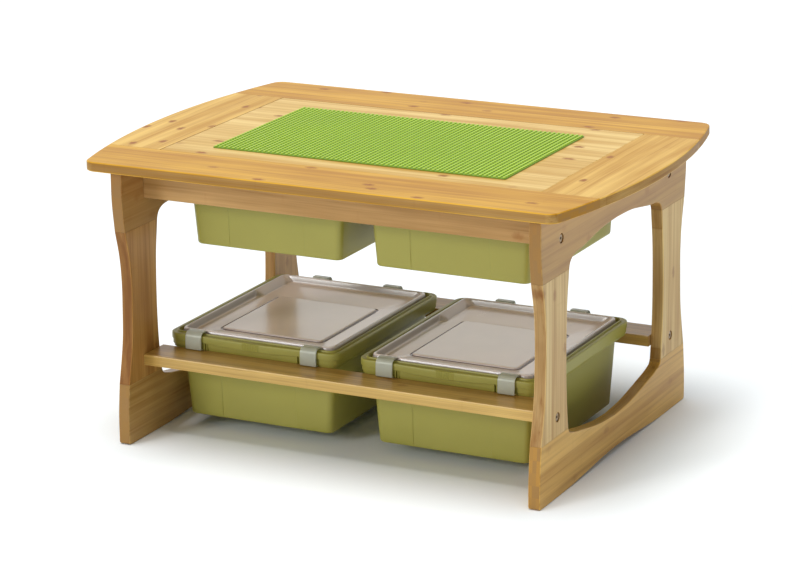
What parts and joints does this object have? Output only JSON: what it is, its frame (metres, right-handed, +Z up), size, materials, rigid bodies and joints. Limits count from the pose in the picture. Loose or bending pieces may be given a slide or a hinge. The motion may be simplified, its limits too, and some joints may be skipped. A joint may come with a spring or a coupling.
{
  "type": "sensory play table",
  "caption": "Low wooden play table with bowed ends, a lift-out top panel with a stud plate, storage tubs under the top and lidded tubs on the shelf rails.",
  "frame": {"origin": "on the floor under the middle of the table top", "axes": "+Z up, +X along the table towards its right end, +Y towards its rear side"},
  "size_m": [0.8864, 0.633, 0.4736],
  "materials": {
    "wood": "clear satin lacquer over honey-coloured edge-glued boards",
    "plate_plastic": "glossy lime green",
    "tub_plastic": "slightly glossy olive green moulding",
    "lid_plastic": "translucent pale grey",
    "latch_plastic": "translucent milky white",
    "steel": "bright zinc plating"
  },
  "bodies": {
    "table": {"left_frame_head": "wood", "left_front_leg": "wood", "left_rear_leg": "wood", "left_foot": "wood", "right_frame_head": "wood", "right_front_leg": "wood", "right_rear_leg": "wood", "right_foot": "wood", "top_front_rail": "wood", "top_rear_rail": "wood", "top_left_end": "wood", "top_right_end": "wood", "front_apron": "wood", "rear_apron": "wood", "front_shelf_rail": "wood", "rear_shelf_rail": "wood", "front_tub_ledge": "wood", "rear_tub_ledge": "wood", "centre_bar": "wood", "left_panel_cleat": "wood", "right_panel_cleat": "wood", "left_front_apron_bolt": "steel", "left_rear_apron_bolt": "steel", "left_front_shelf_bolt": "steel", "left_rear_shelf_bolt": "steel", "right_front_apron_bolt": "steel", "right_rear_apron_bolt": "steel", "right_front_shelf_bolt": "steel", "right_rear_shelf_bolt": "steel", "left_front_apron_nut": "steel", "left_rear_apron_nut": "steel", "left_front_shelf_nut": "steel", "left_rear_shelf_nut": "steel", "right_front_apron_nut": "steel", "right_rear_apron_nut": "steel", "right_front_shelf_nut": "steel", "right_rear_shelf_nut": "steel"},
    "top_panel": {"play_panel": "wood", "stud_plate": "plate_plastic"},
    "upper_left_tub": {"upper_left_tub": "tub_plastic"},
    "upper_right_tub": {"upper_right_tub": "tub_plastic"},
    "lower_left_tub": {"lower_left_tub": "tub_plastic"},
    "lower_right_tub": {"lower_right_tub": "tub_plastic"},
    "left_lid": {"left_lid": "lid_plastic"},
    "right_lid": {"right_lid": "lid_plastic"},
    "left_front_latch_a": {"left_front_latch_a": "latch_plastic"},
    "left_front_latch_b": {"left_front_latch_b": "latch_plastic"},
    "left_rear_latch_a": {"left_rear_latch_a": "latch_plastic"},
    "left_rear_latch_b": {"left_rear_latch_b": "latch_plastic"},
    "right_front_latch_a": {"right_front_latch_a": "latch_plastic"},
    "right_front_latch_b": {"right_front_latch_b": "latch_plastic"},
    "right_rear_latch_a": {"right_rear_latch_a": "latch_plastic"},
    "right_rear_latch_b": {"right_rear_latch_b": "latch_plastic"}
  },
  "joints": [
    {"name": "panel_lift", "type": "slide", "parent": "table", "child": "top_panel", "axis": [0, 0, 1], "range_m": [0, 0.3]},
    {"name": "upper_left_tub_lift", "type": "slide", "parent": "table", "child": "upper_left_tub", "axis": [0, 0, 1], "range_m": [0, 0.16]},
    {"name": "upper_right_tub_lift", "type": "slide", "parent": "table", "child": "upper_right_tub", "axis": [0, 0, 1], "range_m": [0, 0.16]},
    {"name": "lower_left_tub_lift", "type": "slide", "parent": "table", "child": "lower_left_tub", "axis": [0, 0, 1], "range_m": [0, 0.119]},
    {"name": "lower_right_tub_lift", "type": "slide", "parent": "table", "child": "lower_right_tub", "axis": [0, 0, 1], "range_m": [0, 0.119]},
    {"name": "left_lid_lift", "type": "slide", "parent": "lower_left_tub", "child": "left_lid", "axis": [0, 0, 1], "range_m": [0, 0.02]},
    {"name": "right_lid_lift", "type": "slide", "parent": "lower_right_tub", "child": "right_lid", "axis": [0, 0, 1], "range_m": [0, 0.02]},
    {"name": "left_front_latch_a_hinge", "type": "hinge", "parent": "left_lid", "child": "left_front_latch_a", "pos_m": [-0.288, -0.1746, 0.167], "axis": [-1, 0, 0], "range_deg": [0, 100]},
    {"name": "left_front_latch_b_hinge", "type": "hinge", "parent": "left_lid", "child": "left_front_latch_b", "pos_m": [-0.078, -0.1746, 0.167], "axis": [-1, 0, 0], "range_deg": [0, 100]},
    {"name": "left_rear_latch_a_hinge", "type": "hinge", "parent": "left_lid", "child": "left_rear_latch_a", "pos_m": [-0.2505, 0.1746, 0.167], "axis": [1, 0, 0], "range_deg": [0, 100]},
    {"name": "left_rear_latch_b_hinge", "type": "hinge", "parent": "left_lid", "child": "left_rear_latch_b", "pos_m": [-0.1155, 0.1746, 0.167], "axis": [1, 0, 0], "range_deg": [0, 100]},
    {"name": "right_front_latch_a_hinge", "type": "hinge", "parent": "right_lid", "child": "right_front_latch_a", "pos_m": [0.057, -0.1746, 0.167], "axis": [-1, 0, 0], "range_deg": [0, 100]},
    {"name": "right_front_latch_b_hinge", "type": "hinge", "parent": "right_lid", "child": "right_front_latch_b", "pos_m": [0.267, -0.1746, 0.167], "axis": [-1, 0, 0], "range_deg": [0, 100]},
    {"name": "right_rear_latch_a_hinge", "type": "hinge", "parent": "right_lid", "child": "right_rear_latch_a", "pos_m": [0.0945, 0.1746, 0.167], "axis": [1, 0, 0], "range_deg": [0, 100]},
    {"name": "right_rear_latch_b_hinge", "type": "hinge", "parent": "right_lid", "child": "right_rear_latch_b", "pos_m": [0.2295, 0.1746, 0.167], "axis": [1, 0, 0], "range_deg": [0, 100]}
  ],
  "couplings": [
    {"joint": "upper_left_tub_lift", "follows": "panel_lift", "ratio": 0.53},
    {"joint": "upper_right_tub_lift", "follows": "panel_lift", "ratio": 0.53},
    {"joint": "left_front_latch_a_hinge", "follows": "left_lid_lift", "rad_per_m": 87},
    {"joint": "left_front_latch_b_hinge", "follows": "left_lid_lift", "rad_per_m": 87},
    {"joint": "left_rear_latch_a_hinge", "follows": "left_lid_lift", "rad_per_m": 87},
    {"joint": "left_rear_latch_b_hinge", "follows": "left_lid_lift", "rad_per_m": 87},
    {"joint": "right_front_latch_a_hinge", "follows": "right_lid_lift", "rad_per_m": 87},
    {"joint": "right_front_latch_b_hinge", "follows": "right_lid_lift", "rad_per_m": 87},
    {"joint": "right_rear_latch_a_hinge", "follows": "right_lid_lift", "rad_per_m": 87},
    {"joint": "right_rear_latch_b_hinge", "follows": "right_lid_lift", "rad_per_m": 87}
  ]
}
